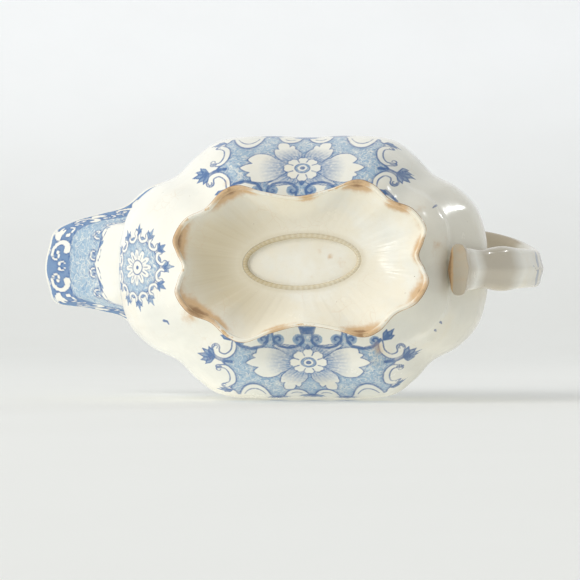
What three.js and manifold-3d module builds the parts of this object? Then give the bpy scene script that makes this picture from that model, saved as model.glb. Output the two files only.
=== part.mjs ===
// Cream jug in glazed earthenware, in millimetres, +Z up. The lip points along +X and the handle along -X.
// The clay pieces are the ones a potter lutes together with slip: two pressed body halves that meet down the
// middle, a base plate let in between them, a lobed hollow foot, and a strap handle.
import * as THREE from "three";
import initManifold from "manifold-3d";
import { mergeVertices } from "three/addons/utils/BufferGeometryUtils.js";

// ---- Driving dimensions ----------------------------------------------------------------------------------
const WALL = 3.2; // thickness of the body wall
const JOINT_GAP = 0.3; // slip joint left open between neighbouring pieces
const JOINT_HEIGHT = 9; // height of the plane where the foot ends and the body starts
const FOOT_LENGTH = 36.4; // half length of the foot's rim, over the end lobes
const FOOT_WIDTH = 22.6; // half width of the foot's rim, over the corner lobes
const FOOT_TWIST = THREE.MathUtils.degToRad(-2.5); // the foot is luted on a little askew
const FOOT_SHIFT = 0.8; // and a little to the left of the body's middle
const REST_BAND = 1.3; // width of the flat band that the jug stands on
const DISH_DEPTH = 7.6; // depth of the hollow under the foot, at the oval hole
const DISH_POWER = 1.5; // 1 would make the hollow a straight cone
const OVAL_LENGTH = 17.2; // half length of the oval hole that shows the base plate
const OVAL_WIDTH = 8.2; // half width of it
const PLATE_INSET = 3.2; // how far the base plate's edge lies inside the body's lower edge
const PLATE_THICKNESS = 3.2;

const AROUND = 32; // facets round half of the body
const UP = 18; // facets from the foot to the rim
const HANDLE_STEPS = 34; // facets along the handle
const HANDLE_SIDES = 12; // facets round it

// ---- Outlines: one quadrant each, from the end of the long axis to the end of the short one --------------
// Half length and half width are both 1. Nine points: the end, then one at each half lobe, to the side.
const FOOT_FORM = [
  [0.935, 0], [0.975, 0.17], [1, 0.36], [0.9, 0.6], [0.73, 0.73],
  [0.6, 0.93], [0.46, 1], [0.26, 0.9], [0, 0.825],
];
const BELLY_FORM = [
  [1, 0], [0.99, 0.22], [0.94, 0.44], [0.83, 0.6], [0.69, 0.705],
  [0.59, 0.845], [0.46, 0.965], [0.24, 0.995], [0, 0.985],
];
const RIM_FORM = [
  [1, 0], [0.985, 0.18], [0.94, 0.36], [0.86, 0.53], [0.73, 0.7],
  [0.575, 0.83], [0.4, 0.93], [0.2, 0.985], [0, 1],
];
const SPOUT_FORM = [
  [1, 0], [0.985, 0.2], [0.95, 0.375], [0.8, 0.48], [0.7, 0.555],
  [0.6, 0.77], [0.45, 0.92], [0.22, 0.985], [0, 1],
];
const KNOTS = 4 * (FOOT_FORM.length - 1); // knots round a whole outline
const OVAL_FORM = FOOT_FORM.map((_, k) => {
  const angle = (2 * Math.PI * k) / KNOTS;
  return [Math.cos(angle), Math.sin(angle)];
});

const FRONT_FORMS = [FOOT_FORM, BELLY_FORM, SPOUT_FORM];
const BACK_FORMS = [FOOT_FORM, BELLY_FORM, RIM_FORM];

// Levels of the body's outer face. form runs from 0, the foot's outline, through 1, the belly's, to 2, the
// rim's. lift is the share of RIM_LIFT that the level rises by. At the back a soft shoulder stands above the
// foot.
const LEVELS = [
  { z: JOINT_HEIGHT, front: 33.2, back: 33.2, half: 19.8, form: 0, lift: 0 },
  { z: 12, front: 37.8, back: 39, half: 25.6, form: 0.25, lift: 0 },
  { z: 15.5, front: 42.6, back: 42.3, half: 30.4, form: 0.5, lift: 0 },
  { z: 19, front: 46.4, back: 43.4, half: 33.2, form: 0.65, lift: 0 },
  { z: 24, front: 51, back: 46.6, half: 36, form: 0.8, lift: 0 },
  { z: 33, front: 56.4, back: 52, half: 39, form: 1, lift: 0 },
  { z: 44, front: 58.6, back: 53.7, half: 40, form: 1, lift: 0 },
  { z: 56, front: 58.2, back: 52.2, half: 38.6, form: 1.05, lift: 0.05 },
  { z: 67, front: 60.5, back: 47.5, half: 34.4, form: 1.3, lift: 0.25 },
  { z: 77, front: 67.5, back: 43.5, half: 31, form: 1.7, lift: 0.6 },
  { z: 85, front: 79, back: 43, half: 30.8, form: 2, lift: 0.85 },
  { z: 91, front: 92.7, back: 46, half: 33, form: 2, lift: 1 },
];
const LIP_LEAN = 3.2; // the lip was bent this far towards +Y when it was pulled
const RIM_LIFT = [15, 12.5, 5.5, 1, 0, 0.5, 2.5, 5, 6]; // from the lip, along one side, to the back

// The handle's centreline from the rim down to the free tail, with its width and thickness there.
const HANDLE = [
  { at: [-41, 3.6, 88], width: 19, thick: 6.5 },
  { at: [-52, 3.6, 92], width: 18.4, thick: 6 },
  { at: [-61.5, 2.8, 90.5], width: 15.4, thick: 6 },
  { at: [-67, 1, 82], width: 12.6, thick: 6.2 },
  { at: [-67.4, 0.1, 70], width: 11.6, thick: 6.2 },
  { at: [-65.6, -0.1, 58], width: 11.8, thick: 6.2 },
  { at: [-62.2, -0.3, 47.5], width: 12.2, thick: 6.6 },
  { at: [-57.4, -0.6, 38], width: 13.4, thick: 8 },
  { at: [-51.8, -0.9, 29], width: 11.4, thick: 5.8 },
  { at: [-47.6, -1.2, 20], width: 12.4, thick: 5.6 },
  { at: [-45, -1.5, 11.5], width: 13.2, thick: 5 },
];
const STRAP_SQUARENESS = 2.6; // exponent of the strap's section: 2 is an ellipse

// ---- Curves ----------------------------------------------------------------------------------------------
function catmullRom(a, b, c, d, t) {
  const linear = (c - a) * t;
  const square = (2 * a - 5 * b + 4 * c - d) * t * t;
  const cube = (3 * b - a - 3 * c + d) * t * t * t;
  return b + 0.5 * (linear + square + cube);
}

// A smooth value through evenly spaced knots. read gives the knot with that number, ends included.
function throughKnots(read, at) {
  const first = Math.floor(at);
  return catmullRom(read(first - 1), read(first), read(first + 1), read(first + 2), at - first);
}

// A list as open knots: past either end the curve runs straight on.
function openKnots(list) {
  const last = list.length - 1;
  return (k) => {
    if (k < 0) return 2 * list[0] - list[1];
    if (k > last) return 2 * list[last] - list[last - 1];
    return list[k];
  };
}

function mixForms(forms, amount) {
  const first = Math.min(Math.floor(amount), forms.length - 2);
  const share = amount - first;
  const from = forms[first];
  const to = forms[first + 1];
  return from.map(([x, y], k) => [x + share * (to[k][0] - x), y + share * (to[k][1] - y)]);
}

// Knot k of a ring, counted from +X round through +Y: which knot of the half ring, and on which side.
function foldKnot(k, count) {
  const wrapped = ((k % count) + count) % count;
  return wrapped > count / 2 ? { along: count - wrapped, side: -1 } : { along: wrapped, side: 1 };
}

// A closed outline from a front and a back quadrant. turn runs from 0 at +X, through +Y, to 1.
function outlinePoint(frontForm, backForm, front, back, half, turn) {
  const knot = (k) => {
    const { along, side } = foldKnot(k, KNOTS);
    const atFront = along <= KNOTS / 4;
    const [x, y] = atFront ? frontForm[along] : backForm[KNOTS / 2 - along];
    return [atFront ? front * x : -back * x, side * half * y];
  };
  return [0, 1].map((axis) => throughKnots((k) => knot(k)[axis], turn * KNOTS));
}

// ---- The body's outer face -------------------------------------------------------------------------------
function levelAt(up) {
  const at = up * (LEVELS.length - 1);
  const level = {};
  for (const key of ["z", "front", "back", "half", "form", "lift"]) {
    level[key] = throughKnots(openKnots(LEVELS.map((row) => row[key])), Math.min(at, LEVELS.length - 1));
  }
  level.form = THREE.MathUtils.clamp(level.form, 0, 2);
  return level;
}

function rimLift(turn) {
  const count = 2 * (RIM_LIFT.length - 1);
  return throughKnots((k) => RIM_LIFT[foldKnot(k, count).along], turn * count);
}

// How far the lean carries the rim sideways at this reach: most at the root of the lip, less at its tip.
function lipLean(x) {
  const root = THREE.MathUtils.smoothstep(x, 30, 70);
  const tip = THREE.MathUtils.smoothstep(x, 76, 94);
  return LIP_LEAN * root * (1 - 0.5 * tip);
}

// turn as in outlinePoint; up runs from 0 at the foot joint to 1 at the rim.
function outerPoint(turn, up) {
  const level = levelAt(up);
  const frontForm = mixForms(FRONT_FORMS, level.form);
  const backForm = mixForms(BACK_FORMS, level.form);
  const [x, y] = outlinePoint(frontForm, backForm, level.front, level.back, level.half, turn);
  return new THREE.Vector3(x, y + level.lift * lipLean(x), level.z + level.lift * rimLift(turn));
}

function outerNormal(turn, up) {
  const step = 0.004;
  const low = Math.max(up - step, 0);
  const high = Math.min(up + step, 1);
  const round = outerPoint(turn + step, up).sub(outerPoint(turn - step, up));
  const rise = outerPoint(turn, high).sub(outerPoint(turn, low));
  return round.cross(rise).normalize();
}

function innerPoint(turn, up) {
  return outerPoint(turn, up).addScaledVector(outerNormal(turn, up), -WALL);
}

// ---- Mesh helpers ----------------------------------------------------------------------------------------
function geometryFrom(points, quads, fans = []) {
  const index = [];
  for (const [a, b, c, d] of quads) index.push(a, b, c, a, c, d);
  for (const fan of fans) {
    for (let k = 1; k < fan.length - 1; k++) index.push(fan[0], fan[k], fan[k + 1]);
  }
  const geometry = new THREE.BufferGeometry();
  geometry.setAttribute("position", new THREE.Float32BufferAttribute(points.flatMap((p) => p.toArray()), 3));
  geometry.setIndex(index);
  const merged = mergeVertices(geometry, 1e-4);
  merged.computeVertexNormals();
  return merged;
}

// A solid from rings of equally many points, each ring closed. wrap joins the last ring to the first;
// otherwise both ends are capped with fans.
function ringSolid(rings, wrap) {
  const count = rings[0].length;
  const points = rings.flat();
  const quads = [];
  const last = wrap ? rings.length : rings.length - 1;
  for (let i = 0; i < last; i++) {
    const next = (i + 1) % rings.length;
    for (let j = 0; j < count; j++) {
      const beside = (j + 1) % count;
      quads.push([i * count + j, i * count + beside, next * count + beside, next * count + j]);
    }
  }
  if (wrap) return geometryFrom(points, quads);
  const start = [...Array(count).keys()].reverse();
  const end = [...Array(count).keys()].map((j) => (rings.length - 1) * count + j);
  return geometryFrom(points, quads, [start, end]);
}

const manifold = await initManifold();
manifold.setup();

function solidOf(geometry) {
  const vertProperties = Float32Array.from(geometry.attributes.position.array);
  const triVerts = Uint32Array.from(geometry.index.array);
  return new manifold.Manifold(new manifold.Mesh({ numProp: 3, vertProperties, triVerts }));
}

function cutBy(geometry, cutter) {
  const mesh = solidOf(geometry).subtract(solidOf(cutter)).getMesh();
  const cut = new THREE.BufferGeometry();
  cut.setAttribute("position", new THREE.BufferAttribute(mesh.vertProperties, 3));
  cut.setIndex(new THREE.BufferAttribute(mesh.triVerts, 1));
  cut.computeVertexNormals();
  return cut;
}

// ---- The pieces ------------------------------------------------------------------------------------------
// One pressed half of the body with half of the lip. side is 1 for the left half and -1 for the right one.
function bodyHalf(side) {
  const points = [];
  const outer = [];
  const inner = [];
  const rim = [];
  const turnAt = (j) => (side * 0.5 * j) / AROUND;
  const put = (point, j) => {
    if (j === 0 || j === AROUND) point.y += (side * JOINT_GAP) / 2;
    return points.push(point) - 1;
  };
  for (let i = 0; i <= UP; i++) {
    outer.push([]);
    inner.push([]);
    for (let j = 0; j <= AROUND; j++) {
      outer[i].push(put(outerPoint(turnAt(j), i / UP), j));
      inner[i].push(put(innerPoint(turnAt(j), i / UP), j));
    }
  }
  for (let j = 0; j <= AROUND; j++) {
    const crest = points[outer[UP][j]].clone().add(points[inner[UP][j]]).multiplyScalar(0.5);
    crest.z += 0.35 * WALL;
    rim.push(points.push(crest) - 1);
  }
  const quads = [];
  for (let i = 0; i < UP; i++) {
    for (let j = 0; j < AROUND; j++) {
      quads.push([outer[i][j], outer[i][j + 1], outer[i + 1][j + 1], outer[i + 1][j]]);
      quads.push([inner[i][j], inner[i + 1][j], inner[i + 1][j + 1], inner[i][j + 1]]);
    }
    quads.push([outer[i][0], outer[i + 1][0], inner[i + 1][0], inner[i][0]]);
    quads.push([outer[i][AROUND], inner[i][AROUND], inner[i + 1][AROUND], outer[i + 1][AROUND]]);
  }
  for (let j = 0; j < AROUND; j++) {
    quads.push([outer[UP][j], outer[UP][j + 1], rim[j + 1], rim[j]]);
    quads.push([rim[j], rim[j + 1], inner[UP][j + 1], inner[UP][j]]);
    quads.push([outer[0][j], inner[0][j], inner[0][j + 1], outer[0][j + 1]]);
  }
  const ends = [
    [outer[UP][0], rim[0], inner[UP][0]],
    [outer[UP][AROUND], inner[UP][AROUND], rim[AROUND]],
  ];
  if (side > 0) return geometryFrom(points, quads, ends);
  return geometryFrom(points, quads.map((q) => q.reverse()), ends.map((f) => f.reverse()));
}

// A closed ring of an outline at one height.
function outlineRing(form, length, width, z) {
  const ring = [];
  for (let j = 0; j < 2 * AROUND; j++) {
    const [x, y] = outlinePoint(form, form, length, length, width, j / (2 * AROUND));
    ring.push(new THREE.Vector3(x, y, z));
  }
  return ring;
}

// The foot: a lobed ring with a flared wall, a flat rest band, a dished underside and an oval hole.
function foot() {
  const top = JOINT_HEIGHT - JOINT_GAP;
  const waistLength = LEVELS[0].front;
  const waistWidth = LEVELS[0].half;
  const rings = [
    outlineRing(FOOT_FORM, FOOT_LENGTH, FOOT_WIDTH, 0),
    outlineRing(FOOT_FORM, FOOT_LENGTH + 0.2, FOOT_WIDTH + 0.2, 0.8),
    outlineRing(FOOT_FORM, FOOT_LENGTH - 0.6, FOOT_WIDTH - 0.6, 2.6),
    outlineRing(FOOT_FORM, waistLength + 0.9, waistWidth + 0.9, 5.4),
    outlineRing(FOOT_FORM, waistLength, waistWidth, top),
    outlineRing(OVAL_FORM, OVAL_LENGTH, OVAL_WIDTH, top),
  ];
  const dishSteps = 6;
  for (let k = 0; k <= dishSteps; k++) {
    const out = k / dishSteps;
    const form = mixForms([OVAL_FORM, FOOT_FORM, FOOT_FORM], out);
    const length = THREE.MathUtils.lerp(OVAL_LENGTH, FOOT_LENGTH - REST_BAND, out);
    const width = THREE.MathUtils.lerp(OVAL_WIDTH, FOOT_WIDTH - REST_BAND, out);
    rings.push(outlineRing(form, length, width, DISH_DEPTH * (1 - out ** DISH_POWER)));
  }
  return ringSolid(rings, true);
}

// The base plate closes the body between the two halves. The oval hole in the foot shows its underside.
function basePlate() {
  const length = LEVELS[0].front - PLATE_INSET;
  const width = LEVELS[0].half - PLATE_INSET;
  const low = JOINT_HEIGHT;
  const high = JOINT_HEIGHT + PLATE_THICKNESS;
  const rings = [low, high].map((z) => outlineRing(FOOT_FORM, length, width, z));
  return ringSolid(rings, false);
}

// The room that the body takes up, filled in and grown by the slip joint.
function bodyRoom() {
  const rings = [];
  for (let i = 0; i <= UP; i++) {
    const ring = [];
    for (let j = 0; j < 2 * AROUND; j++) {
      const turn = j / (2 * AROUND);
      ring.push(outerPoint(turn, i / UP).addScaledVector(outerNormal(turn, i / UP), JOINT_GAP));
    }
    rings.push(ring);
  }
  return ringSolid(rings, false);
}

// The strap handle: a rounded section swept along its centreline, wide at the rim and at the tail. Its upper
// end and the inner face of its tail are fitted to the body.
function handle() {
  const read = (pick) => openKnots(HANDLE.map(pick));
  const axes = [0, 1, 2].map((k) => read((row) => row.at[k]));
  const widths = read((row) => row.width);
  const thicks = read((row) => row.thick);
  const centre = (at) => new THREE.Vector3(...axes.map((axis) => throughKnots(axis, at)));
  const across = new THREE.Vector3(0, 1, 0);
  const rings = [];
  for (let i = 0; i <= HANDLE_STEPS; i++) {
    const at = (i / HANDLE_STEPS) * (HANDLE.length - 1) * 0.99999;
    const along = centre(at + 0.01).sub(centre(Math.max(at - 0.01, 0))).normalize();
    const outward = along.clone().cross(across).normalize();
    const ring = [];
    for (let j = 0; j < HANDLE_SIDES; j++) {
      const angle = (2 * Math.PI * j) / HANDLE_SIDES;
      const power = 2 / STRAP_SQUARENESS;
      const wide = Math.sign(Math.cos(angle)) * Math.abs(Math.cos(angle)) ** power;
      const deep = Math.sign(Math.sin(angle)) * Math.abs(Math.sin(angle)) ** power;
      const point = centre(at).addScaledVector(across, (wide * throughKnots(widths, at)) / 2);
      ring.push(point.addScaledVector(outward, (deep * throughKnots(thicks, at)) / 2));
    }
    rings.push(ring);
  }
  return cutBy(ringSolid(rings, false), bodyRoom());
}

// ---- Assembly --------------------------------------------------------------------------------------------
const glaze = new THREE.MeshStandardMaterial({ color: 0xf0ecd9, roughness: 0.15, metalness: 0 });
const stainedGlaze = new THREE.MeshStandardMaterial({ color: 0xe6dcc0, roughness: 0.3, metalness: 0 });

function piece(name, geometry, material) {
  const mesh = new THREE.Mesh(geometry, material);
  mesh.name = name;
  return mesh;
}

const footPiece = piece("foot", foot(), stainedGlaze);
footPiece.rotation.z = FOOT_TWIST;
footPiece.position.y = FOOT_SHIFT;

const jug = new THREE.Group();
jug.add(
  piece("body_left", bodyHalf(1), glaze),
  piece("body_right", bodyHalf(-1), glaze),
  piece("base_plate", basePlate(), stainedGlaze),
  footPiece,
  piece("handle", handle(), glaze),
);

// The origin is under the middle of the whole jug, on the surface that it stands on.
const box = new THREE.Box3().setFromObject(jug, true);
jug.position.set(-(box.min.x + box.max.x) / 2, -(box.min.y + box.max.y) / 2, 0);

export default jug;
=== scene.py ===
"""The looks of the cream jug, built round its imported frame.

Objects are in metres, in the row frame: +X lip, -X handle, +Z up. Forms are drawn in millimetres.
"""
import math

import bpy
import numpy as np
from mathutils import Matrix, Vector


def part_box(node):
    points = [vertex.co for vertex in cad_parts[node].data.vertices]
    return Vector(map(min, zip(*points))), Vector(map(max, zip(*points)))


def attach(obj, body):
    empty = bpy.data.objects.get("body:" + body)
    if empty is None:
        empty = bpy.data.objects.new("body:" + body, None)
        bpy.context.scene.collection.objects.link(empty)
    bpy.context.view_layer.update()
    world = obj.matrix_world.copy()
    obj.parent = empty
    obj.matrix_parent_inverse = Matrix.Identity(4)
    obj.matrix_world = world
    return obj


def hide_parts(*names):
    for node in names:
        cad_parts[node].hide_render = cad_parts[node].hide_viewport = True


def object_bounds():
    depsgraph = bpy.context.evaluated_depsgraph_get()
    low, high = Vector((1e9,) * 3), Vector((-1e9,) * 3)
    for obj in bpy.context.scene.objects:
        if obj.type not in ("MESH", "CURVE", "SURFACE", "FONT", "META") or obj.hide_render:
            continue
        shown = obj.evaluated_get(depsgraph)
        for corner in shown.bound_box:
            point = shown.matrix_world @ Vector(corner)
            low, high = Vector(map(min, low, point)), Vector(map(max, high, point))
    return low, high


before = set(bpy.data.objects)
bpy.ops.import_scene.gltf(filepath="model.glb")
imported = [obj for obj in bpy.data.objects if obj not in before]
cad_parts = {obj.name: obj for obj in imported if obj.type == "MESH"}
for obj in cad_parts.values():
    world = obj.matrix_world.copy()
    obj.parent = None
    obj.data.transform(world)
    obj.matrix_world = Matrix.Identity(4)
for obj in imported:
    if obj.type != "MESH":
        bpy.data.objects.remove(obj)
CAD_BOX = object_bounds()

MM = 0.001

# ---- The jug's form, in millimetres from the middle of its foot ----
FOOT_LOW, FOOT_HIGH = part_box("foot")
PLATE_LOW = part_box("base_plate")[0]
AXIS_X = (FOOT_LOW.x + FOOT_HIGH.x) / 2 / MM  # the foot's middle in the row frame
JOINT_HEIGHT = PLATE_LOW.z / MM
WALL = 3.2
FOOT_LENGTH = 36.4  # half the length of the foot's rim; the other lengths and widths are halves too
FOOT_WIDTH = 22.6
JOINT_LENGTH = 33.2  # where the foot meets the bowl
JOINT_WIDTH = 19.8
FOOT_TWIST = math.radians(-2.5)
FOOT_SHIFT = (FOOT_LOW.y + FOOT_HIGH.y) / 2 / MM
REST_BAND = 1.3
DISH_DEPTH = 7.6
DISH_POWER = 1.5
OVAL_LENGTH = 17.2
OVAL_WIDTH = 8.2

# One quadrant of each outline, from the end of the long axis to the end of the short one. Half sizes are 1.
FOOT_FORM = [
    (0.935, 0), (0.975, 0.17), (1, 0.36), (0.9, 0.6), (0.73, 0.73), (0.6, 0.93), (0.46, 1), (0.26, 0.9),
    (0, 0.825),
]
BELLY_FORM = [
    (1, 0), (0.99, 0.22), (0.94, 0.44), (0.83, 0.6), (0.69, 0.705), (0.59, 0.845), (0.46, 0.965),
    (0.24, 0.995), (0, 0.985),
]
RIM_FORM = [
    (1, 0), (0.985, 0.18), (0.94, 0.36), (0.86, 0.53), (0.73, 0.7), (0.575, 0.83), (0.4, 0.93), (0.2, 0.985),
    (0, 1),
]
SPOUT_FORM = [
    (1, 0), (0.985, 0.2), (0.95, 0.375), (0.8, 0.48), (0.7, 0.555), (0.6, 0.77), (0.45, 0.92), (0.22, 0.985),
    (0, 1),
]
OVAL_FORM = [(math.cos(k * math.pi / 16), math.sin(k * math.pi / 16)) for k in range(9)]
FRONT_FORMS = np.array([FOOT_FORM, BELLY_FORM, SPOUT_FORM])
BACK_FORMS = np.array([FOOT_FORM, BELLY_FORM, RIM_FORM])

# Levels of the outer face: height, reach to front and back, half width, outline, share of RIM_LIFT.
# The outline counts from the foot's at 0, through the belly's at 1, to the spout's and the rim's at 2.
LEVELS = np.array([
    (JOINT_HEIGHT, JOINT_LENGTH, JOINT_LENGTH, JOINT_WIDTH, 0, 0),
    (12, 37.8, 39, 25.6, 0.25, 0),
    (15.5, 42.6, 42.3, 30.4, 0.5, 0),
    (19, 46.4, 43.4, 33.2, 0.65, 0),
    (24, 51, 46.6, 36, 0.8, 0),
    (33, 56.4, 52, 39, 1, 0),
    (44, 58.6, 53.7, 40, 1, 0),
    (56, 58.2, 52.2, 38.6, 1.05, 0.05),
    (67, 60.5, 47.5, 34.4, 1.3, 0.25),
    (77, 67.5, 43.5, 31, 1.7, 0.6),
    (85, 79, 43, 30.8, 2, 0.85),
    (91, 92.7, 46, 33, 2, 1),
])
RIM_LIFT = [15, 12.5, 5.5, 1, 0, 0.5, 2.5, 5, 6]  # how far the rim rises, from the lip round to the handle
LIP_LEAN = 3.2  # the lip leans this far to +Y

# The handle's centreline from the rim to the free tail, then its width and thickness there.
HANDLE = np.array([
    (-43.2, 3.6, 88.9, 18.6, 6.6),
    (-52, 3.6, 92, 18.4, 6),
    (-61.5, 2.8, 90.5, 15.4, 6),
    (-67, 1, 82, 12.6, 6.2),
    (-67.4, 0.1, 70, 11.6, 6.2),
    (-65.6, -0.1, 58, 11.8, 6.2),
    (-62.2, -0.3, 47.5, 12.2, 6.6),
    (-57.4, -0.6, 38, 13.4, 8),
    (-51.8, -0.9, 29, 11.4, 5.8),
    (-47.6, -1.2, 20, 12.4, 5.6),
    (-45, -1.5, 11.5, 13.2, 5),
])


# ---- Curves ----
def ease(low, high, value):
    """0 below low, 1 above high, smooth between."""
    t = np.clip((value - low) / (high - low), 0, 1)
    return t * t * (3 - 2 * t)


def through_knots(knots, at):
    """Smooth values through evenly spaced knots. One spare knot stands before them, and two after."""
    first = np.floor(at).astype(int)
    t = (at - first).reshape((-1,) + (1,) * (knots.ndim - 1))
    a, b, c, d = (knots[first + k] for k in range(4))
    square = 2 * a - 5 * b + 4 * c - d
    cube = 3 * b - a - 3 * c + d
    return b + 0.5 * ((c - a) * t + square * t * t + cube * t ** 3)


def open_knots(knots):
    knots = np.asarray(knots, float)
    after = 2 * knots[-1] - knots[-2]
    return np.concatenate([[2 * knots[0] - knots[1]], knots, [after, after]])


def ring_knots(half_ring):
    """Knots from a half ring, mirrored to the other half. half_ring holds both ends."""
    half_ring = np.asarray(half_ring, float)
    mirrored = half_ring[-2:0:-1].copy()
    if half_ring.ndim == 2:
        mirrored[:, 1] *= -1
    whole = np.concatenate([half_ring, mirrored])
    return np.concatenate([whole[-1:], whole, whole[:2]])


def outline(front_form, back_form, front, back, half, turns):
    """Points round an outline. turns runs from 0 at +X, through +Y, to 1."""
    front_part = np.array(front_form) * (front, half)
    back_part = np.array(back_form)[::-1] * (-back, half)
    knots = ring_knots(np.concatenate([front_part, back_part[1:]]))
    return through_knots(knots, (turns % 1.0) * (len(knots) - 3))


def mixed(forms, amount):
    first = min(int(amount), len(forms) - 2)
    return forms[first] + (amount - first) * (forms[first + 1] - forms[first])


def waves(at, seed):
    """An irregular ripple between about -1 and 1 along at, which counts once round in 0 to 1."""
    total = np.zeros_like(at)
    for k in range(7):
        turns_round = 3 + (seed * 7 + k * 11) % 17 * (1 + k // 2)
        total += np.sin(2 * math.pi * turns_round * at + seed * 1.7 + k * 2.3) / (1.6 + 0.35 * k)
    return total / 2.2


# ---- The body's outer face ----
def outer_grid(turns, ups):
    """Points of the outer face, one row for each height. ups runs from 0 at the foot to 1 at the rim."""
    rows = through_knots(open_knots(LEVELS), np.clip(ups, 0, 1) * (len(LEVELS) - 1))
    lift_knots = ring_knots(RIM_LIFT)
    lift = through_knots(lift_knots, (turns % 1.0) * (len(lift_knots) - 3))
    grid = np.zeros((len(ups), len(turns), 3))
    for i, (z, front, back, half, form, share) in enumerate(rows):
        form = min(max(form, 0), 2)
        flat = outline(mixed(FRONT_FORMS, form), mixed(BACK_FORMS, form), front, back, half, turns)
        lean = share * LIP_LEAN * ease(30, 70, flat[:, 0]) * (1 - 0.5 * ease(76, 94, flat[:, 0]))
        grid[i, :, 0] = flat[:, 0]
        grid[i, :, 1] = flat[:, 1] + lean
        grid[i, :, 2] = z + share * lift
    return grid


def outer_normals(turns, ups):
    step = 0.003
    across = outer_grid(turns + step, ups) - outer_grid(turns - step, ups)
    rise = outer_grid(turns, np.minimum(ups + step, 1)) - outer_grid(turns, np.maximum(ups - step, 0))
    normals = np.cross(across, rise)
    return normals / np.linalg.norm(normals, axis=2, keepdims=True)


def lengths(points):
    """Distance along a row of points, from its first point."""
    steps = np.linalg.norm(np.diff(points, axis=0), axis=1)
    return np.concatenate([[0], np.cumsum(steps)])


FINE = np.linspace(0, 1, 441)
SIDE_PROFILE = outer_grid(np.array([0.25]), FINE)[:, 0]
SIDE_ARC = lengths(SIDE_PROFILE)
FRONT_ARC = lengths(outer_grid(np.array([0.0]), FINE)[:, 0])


# ---- Mesh helpers ----
def grid_faces(index, closed=False):
    """Quads of a grid of vertex numbers; closed joins the last column to the first."""
    if closed:
        index = np.concatenate([index, index[:, :1]], axis=1)
    corners = [index[:-1, :-1], index[:-1, 1:], index[1:, 1:], index[1:, :-1]]
    return np.stack([c.ravel() for c in corners], axis=1)


def capped_faces(index):
    """Faces of a tube whose rings are the rows of index, with one more over each end."""
    return [*grid_faces(index, closed=True), index[-1], index[0][::-1]]


def mesh_object(name, points, faces, material, marks):
    """A smooth mesh object from points in millimetres from the foot's middle, with marks for its material."""
    mesh = bpy.data.meshes.new(name)
    place = np.array([AXIS_X, 0, 0])
    mesh.from_pydata(((points + place) * MM).tolist(), [], [f.tolist() for f in faces])
    for mark, values in marks.items():
        layer = mesh.attributes.new(mark, "FLOAT", "POINT")
        layer.data.foreach_set("value", np.ravel(values).astype(np.float32))
    mesh.update()
    mesh.shade_smooth()
    mesh.materials.append(material)
    made = bpy.data.objects.new(name, mesh)
    bpy.context.scene.collection.objects.link(made)
    return made


# ---- Drawing tools for the blue print ----
# A print is drawn on a flat chart in millimetres. Every shape is a signed distance, positive inside its edge.
def smooth(points):
    """A smooth line through points."""
    count = len(points) - 1
    return through_knots(open_knots(points), np.linspace(0, count, 6 * count))


def bulged(corners, bulge):
    """A closed outline whose sides bow outwards between sharp corners."""
    corners = np.asarray(corners, float)
    line = []
    for a, b in zip(corners, np.roll(corners, -1, axis=0)):
        side = b - a
        out = np.array([side[1], -side[0]])
        for t in (0, 0.2, 0.4, 0.6, 0.8):
            line.append(a + t * side + out * bulge * 4 * t * (1 - t))
    return np.array(line)


def curl(centre, radius, start, sweep, end_radius=0.35):
    """A spiral line from its outer end inwards. Angles are in degrees."""
    t = np.linspace(0, 1, 22)
    angle = np.radians(start + sweep * t)
    reach = radius + (end_radius - radius) * t
    return np.column_stack([centre[0] + reach * np.cos(angle), centre[1] + reach * np.sin(angle)])


def stroke(at, line, width, end_width=None):
    """Inside a drawn line. The width may taper from one end to the other."""
    line = np.asarray(line, float)
    end_width = width if end_width is None else end_width
    widths = np.linspace(width, end_width, len(line)) / 2
    best = np.full(len(at), -99.0)
    for k in range(len(line) - 1):
        a, side = line[k], line[k + 1] - line[k]
        t = np.clip((at - a) @ side / max(side @ side, 1e-12), 0, 1)
        away = np.hypot(at[:, 0] - a[0] - t * side[0], at[:, 1] - a[1] - t * side[1])
        np.maximum(best, widths[k] + t * (widths[k + 1] - widths[k]) - away, out=best)
    return best


def region(at, outline_points):
    """Inside a closed outline."""
    line = np.asarray(outline_points, float)
    away = -stroke(at, np.concatenate([line, line[:1]]), 0)
    crossings = np.zeros(len(at), int)
    for a, b in zip(line, np.roll(line, -1, axis=0)):
        if a[1] == b[1]:
            continue
        spans = (at[:, 1] >= min(a[1], b[1])) & (at[:, 1] < max(a[1], b[1]))
        x = a[0] + (at[:, 1] - a[1]) * (b[0] - a[0]) / (b[1] - a[1])
        crossings += spans & (at[:, 0] < x)
    return np.where(crossings % 2 == 1, away, -away)


def disc(at, centre, radius, squash=1.0):
    return radius - np.hypot(at[:, 0] - centre[0], (at[:, 1] - centre[1]) / squash)


def turned(line, angle, place):
    c, s = math.cos(angle), math.sin(angle)
    return line @ np.array([[c, s], [-s, c]]) + np.asarray(place, float)


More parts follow.
